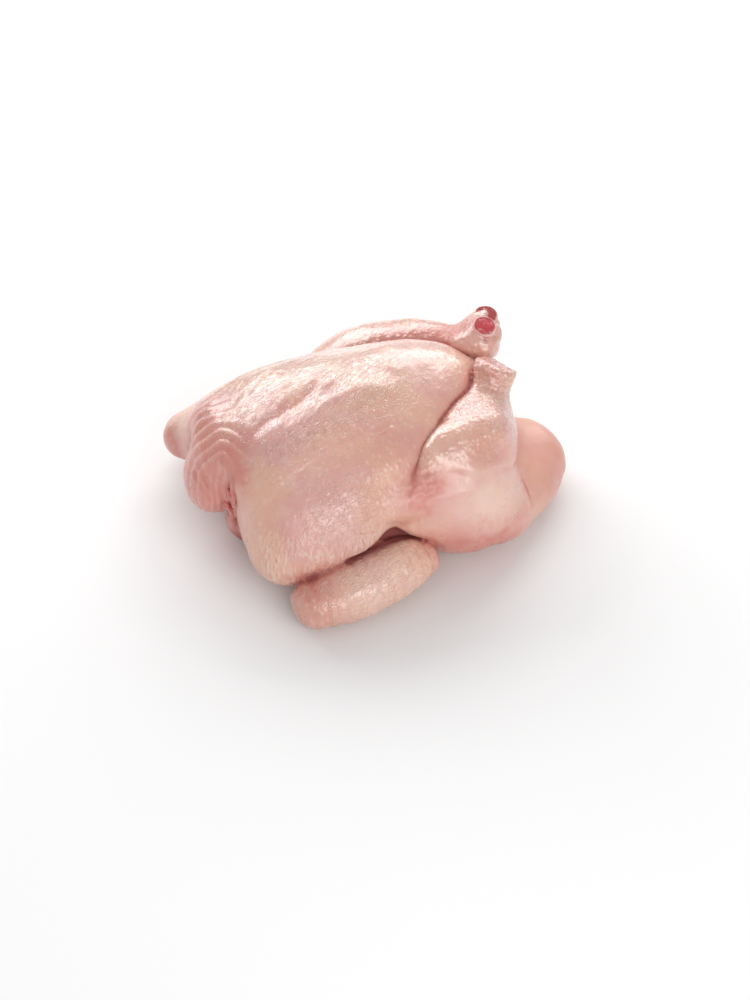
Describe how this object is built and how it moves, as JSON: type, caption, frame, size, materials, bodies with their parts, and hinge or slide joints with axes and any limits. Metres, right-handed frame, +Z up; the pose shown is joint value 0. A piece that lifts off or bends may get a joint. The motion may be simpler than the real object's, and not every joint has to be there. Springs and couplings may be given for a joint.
{
  "type": "whole raw chicken",
  "caption": "Whole raw chicken, plucked and drawn, lying on its back with folded legs, wings at its sides and bare knuckles at one hock.",
  "frame": {"origin": "middle of the bird's footprint, on the surface it lies on", "axes": "+Z up through the breast, +X from the neck end to the tail, +Y to the bird's left side"},
  "size_m": [0.2259, 0.2081, 0.1053],
  "materials": {
    "skin": "moist, softly glossy",
    "bone": "wet, glossy"
  },
  "bodies": {
    "root": {"carcass": "skin", "knuckle_inner": "bone", "knuckle_outer": "bone"}
  },
  "joints": []
}
